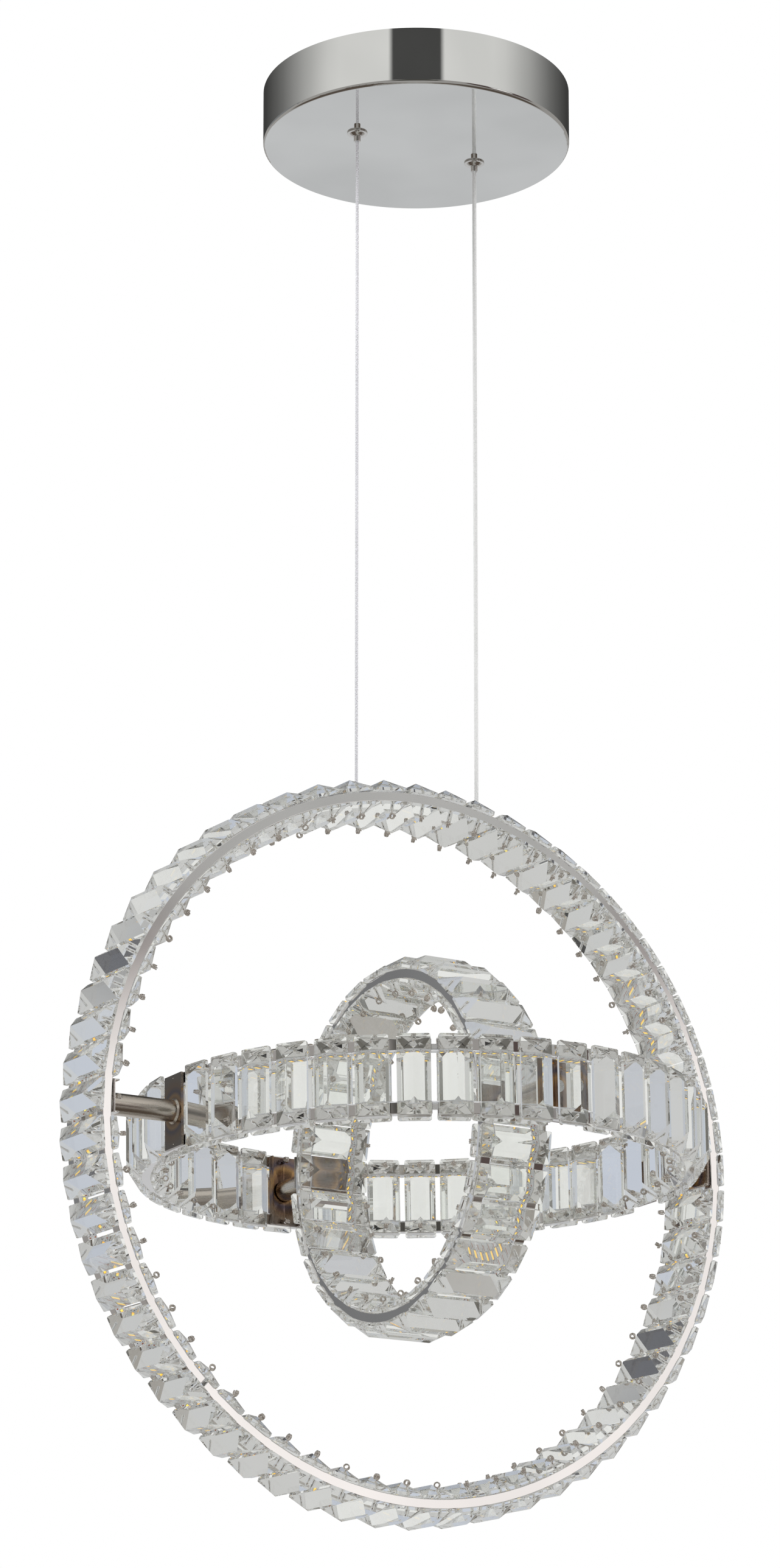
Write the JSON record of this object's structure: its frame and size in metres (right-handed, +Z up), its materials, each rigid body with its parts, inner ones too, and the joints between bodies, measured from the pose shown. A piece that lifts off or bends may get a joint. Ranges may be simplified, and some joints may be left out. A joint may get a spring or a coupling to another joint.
{
  "type": "crystal ring pendant light",
  "caption": "Ceiling pendant: a round mirror canopy, suspension cables and nested rings of clear faceted crystals that turn on axles, with LED strips inside.",
  "frame": {"origin": "centre of the canopy in the plane of the ceiling", "axes": "+Z up to the ceiling; X along the large ring's plane and the medium ring's axle, with the power cable on +X; -Y towards the side that the picture shows"},
  "size_m": [0.6019, 0.4682, 1.2058],
  "materials": {
    "mirror_chrome": "mirror-polished chrome plating",
    "rail_chrome": "bright polished stainless channel",
    "crystal": "clear cut and polished crystal",
    "pin_wire": "bright nickel-plated wire",
    "nickel": "polished nickel plating",
    "bracket_steel": "bright stainless sheet",
    "tinted_steel": "stainless sheet with brown and gold heat tint from welding",
    "brushed_tube": "brushed stainless tube with a light gold tint",
    "zinc_plated_steel": "zinc-plated steel",
    "brass_plug": "turned brass",
    "cable_steel": "twisted steel wire rope",
    "braided_cable": "clear sheath over silver braid",
    "white_plastic": "moulded white plastic",
    "black_foam": "self-adhesive foam",
    "led_strip": "pale flexible circuit strip",
    "led_phosphor": "yellow phosphor in a white package"
  },
  "bodies": {
    "canopy": {"canopy_cup": "mirror_chrome", "canopy_side_screws": "zinc_plated_steel", "ceiling_crossbar": "zinc_plated_steel", "driver_case": "white_plastic", "driver_lid": "white_plastic", "foam_pads": "black_foam", "gripper_bodies": "nickel", "gripper_nuts": "nickel", "ground_screw": "zinc_plated_steel", "left_gripper_spring": "zinc_plated_steel", "power_cable": "braided_cable", "right_gripper_spring": "zinc_plated_steel", "steel_cable": "cable_steel", "terminal_block": "white_plastic"},
    "large_ring": {"cable_hanger_bars": "bracket_steel", "cable_stops": "zinc_plated_steel", "large_back_rail": "rail_chrome", "large_bracket_plates": "tinted_steel", "large_crystal_pins": "pin_wire", "large_front_rail": "rail_chrome", "large_inner_crystals": "crystal", "large_led_chips": "led_phosphor", "large_led_strips": "led_strip", "large_outer_crystals": "crystal", "large_rail_joiners": "bracket_steel"},
    "medium_ring": {"medium_axle_bolts": "zinc_plated_steel", "medium_axle_washers": "zinc_plated_steel", "medium_crystal_pins": "pin_wire", "medium_inner_crystals": "crystal", "medium_inner_plates": "tinted_steel", "medium_led_chips": "led_phosphor", "medium_led_strips": "led_strip", "medium_link_tubes": "brushed_tube", "medium_lower_rail": "rail_chrome", "medium_outer_crystals": "crystal", "medium_outer_plates": "bracket_steel", "medium_rail_joiners": "bracket_steel", "medium_tube_plugs": "brass_plug", "medium_upper_rail": "rail_chrome"},
    "small_ring": {"small_axle_bolts": "zinc_plated_steel", "small_axle_washers": "zinc_plated_steel", "small_back_rail": "rail_chrome", "small_crystal_pins": "pin_wire", "small_front_rail": "rail_chrome", "small_inner_crystals": "crystal", "small_led_chips": "led_phosphor", "small_led_strips": "led_strip", "small_link_tubes": "brushed_tube", "small_outer_crystals": "crystal", "small_outer_plates": "bracket_steel", "small_rail_joiners": "bracket_steel", "small_tube_plugs": "brass_plug"},
    "left_plunger": {"left_gripper_balls": "zinc_plated_steel", "left_gripper_plunger": "nickel"},
    "right_plunger": {"right_gripper_balls": "zinc_plated_steel", "right_gripper_plunger": "nickel"}
  },
  "joints": [
    {"name": "height_slide", "type": "slide", "parent": "canopy", "child": "large_ring", "axis": [0, 0, 1], "range_m": [0, 0.3], "deforming": ["steel_cable", "power_cable"]},
    {"name": "medium_ring_pivot", "type": "hinge", "parent": "large_ring", "child": "medium_ring", "pos_m": [0, 0, -0.8945], "axis": [1, 0, 0], "range_deg": [-90, 90]},
    {"name": "small_ring_pivot", "type": "hinge", "parent": "medium_ring", "child": "small_ring", "pos_m": [0, 0, -0.8945], "axis": [0, 0.9996, -0.0297], "range_deg": [-90, 90]},
    {"name": "left_plunger_slide", "type": "slide", "parent": "canopy", "child": "left_plunger", "axis": [0, 0, 1], "range_m": [0, 0.002], "stiffness_N_per_m": 300, "springref_m": -0.001, "deforming": ["left_gripper_spring"]},
    {"name": "right_plunger_slide", "type": "slide", "parent": "canopy", "child": "right_plunger", "axis": [0, 0, 1], "range_m": [0, 0.002], "stiffness_N_per_m": 300, "springref_m": -0.001, "deforming": ["right_gripper_spring"]}
  ]
}
